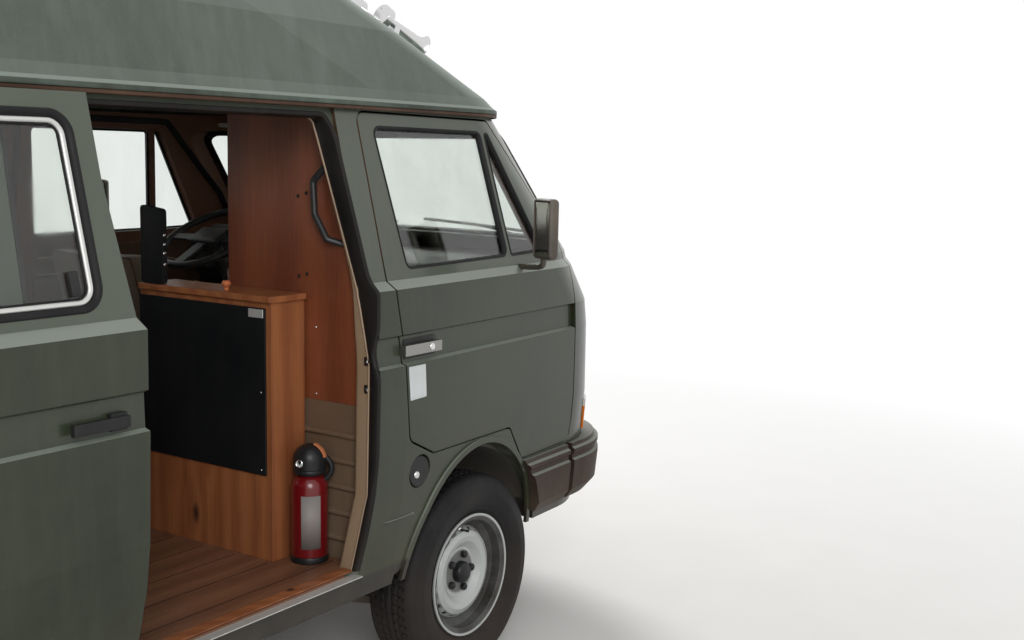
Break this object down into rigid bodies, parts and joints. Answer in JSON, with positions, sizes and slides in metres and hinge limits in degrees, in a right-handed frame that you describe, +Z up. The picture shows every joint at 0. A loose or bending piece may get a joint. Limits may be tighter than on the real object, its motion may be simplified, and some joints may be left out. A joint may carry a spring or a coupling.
{
  "type": "camper van",
  "caption": "Boxy rear-engined camper van with a high moulded roof, an open sliding side door onto fitted furniture, hinged cab doors and tailgate, and steered wheels.",
  "frame": {"origin": "on the ground under the middle of the van's overall length and width", "axes": "+X forward towards the nose, +Y towards the van's left, +Z up"},
  "size_m": [4.5698, 2.2014, 2.465],
  "materials": {
    "body_paint": "semi-matt dark green, brushed on by hand",
    "roof_shell": "painted glass fibre",
    "window_glass": "clear, slightly tinted",
    "grey_plastic": "weathered grey-brown",
    "black_plastic": "grained",
    "lamp_glass": "fluted glass over a reflector",
    "orange_lens": "ribbed lens",
    "red_lens": "ribbed lens",
    "horn_chrome": "polished",
    "door_gear_steel": "worn",
    "floor_paint": "dark, scuffed",
    "bulkhead_paint": "beige gloss",
    "plywood": "varnished reddish brown",
    "grab_enamel": "black gloss",
    "floor_wood": "worn varnish",
    "furniture_wood": "oiled pine",
    "panel_black": "smooth",
    "bottle_enamel": "red gloss",
    "seat_fabric": "woven",
    "dash_plastic": "grained",
    "steering_plastic": "worn smooth",
    "chassis_paint": "black underseal",
    "engine_iron": "oily",
    "exhaust_steel": "rusty",
    "wheel_paint": "worn silver",
    "tyre_rubber": "dusty"
  },
  "bodies": {
    "body": {"body_shell": "body_paint", "sliding_door": "body_paint", "high_roof": "roof_shell", "windscreen": "window_glass", "side_glass": "window_glass", "sliding_door_glass": "window_glass", "bumpers": "grey_plastic", "grille": "black_plastic", "fuel_cap": "black_plastic", "headlamps": "lamp_glass", "indicators": "orange_lens", "tail_lamps": "red_lens", "roof_horns": "horn_chrome", "sliding_door_gear": "door_gear_steel", "floor_panels": "floor_paint", "bulkheads": "bulkhead_paint", "partition": "plywood", "grab_handle": "grab_enamel", "wood_floor": "floor_wood", "furniture": "furniture_wood", "cabinet_panel": "panel_black", "fire_extinguisher": "bottle_enamel", "cushions": "seat_fabric", "dashboard": "dash_plastic", "running_gear": "chassis_paint", "fuel_tank": "chassis_paint", "engine": "engine_iron", "exhaust": "exhaust_steel"},
    "door_left": {"door_left": "body_paint", "door_glass_left": "window_glass", "door_fittings_left": "black_plastic"},
    "door_right": {"door_right": "body_paint", "door_glass_right": "window_glass", "door_fittings_right": "black_plastic"},
    "tailgate": {"tailgate": "body_paint", "tailgate_glass": "window_glass"},
    "steering_wheel": {"steering_wheel": "steering_plastic"},
    "knuckle_left": {"knuckle_left": "chassis_paint"},
    "knuckle_right": {"knuckle_right": "chassis_paint"},
    "wheel_front_left": {"rim_front_left": "wheel_paint", "tyre_front_left": "tyre_rubber"},
    "wheel_front_right": {"rim_front_right": "wheel_paint", "tyre_front_right": "tyre_rubber"},
    "wheel_rear_left": {"rim_rear_left": "wheel_paint", "tyre_rear_left": "tyre_rubber"},
    "wheel_rear_right": {"rim_rear_right": "wheel_paint", "tyre_rear_right": "tyre_rubber"}
  },
  "joints": [
    {"name": "door_left_hinge", "type": "hinge", "parent": "body", "child": "door_left", "pos_m": [1.771, 0.897, 0.9], "axis": [0, 0, -1], "range_deg": [0, 65]},
    {"name": "door_right_hinge", "type": "hinge", "parent": "body", "child": "door_right", "pos_m": [1.771, -0.897, 0.9], "axis": [0, 0, 1], "range_deg": [0, 65]},
    {"name": "tailgate_hinge", "type": "hinge", "parent": "body", "child": "tailgate", "pos_m": [-1.967, 0, 1.733], "axis": [0, 1, 0], "range_deg": [0, 85]},
    {"name": "steer_left", "type": "hinge", "parent": "body", "child": "knuckle_left", "pos_m": [1.205, 0.72, 0.318], "axis": [0, 0, 1], "range_deg": [-35, 35]},
    {"name": "steer_right", "type": "hinge", "parent": "body", "child": "knuckle_right", "pos_m": [1.205, -0.72, 0.318], "axis": [0, 0, 1], "range_deg": [-35, 35]},
    {"name": "steering_wheel_turn", "type": "hinge", "parent": "body", "child": "steering_wheel", "pos_m": [1.335, 0.43, 1.302], "axis": [-0.4848, 0, 0.8746], "range_deg": [-595, 595]},
    {"name": "spin_front_left", "type": "hinge", "parent": "knuckle_left", "child": "wheel_front_left", "pos_m": [1.205, 0.7925, 0.318], "axis": [0, 1, 0], "continuous": true},
    {"name": "spin_front_right", "type": "hinge", "parent": "knuckle_right", "child": "wheel_front_right", "pos_m": [1.205, -0.7925, 0.318], "axis": [0, 1, 0], "continuous": true},
    {"name": "spin_rear_left", "type": "hinge", "parent": "body", "child": "wheel_rear_left", "pos_m": [-1.255, 0.785, 0.318], "axis": [0, 1, 0], "continuous": true},
    {"name": "spin_rear_right", "type": "hinge", "parent": "body", "child": "wheel_rear_right", "pos_m": [-1.255, -0.785, 0.318], "axis": [0, 1, 0], "continuous": true}
  ],
  "couplings": [
    {"joint": "steer_right", "follows": "steer_left", "ratio": 1},
    {"joint": "steering_wheel_turn", "follows": "steer_left", "ratio": 17}
  ]
}
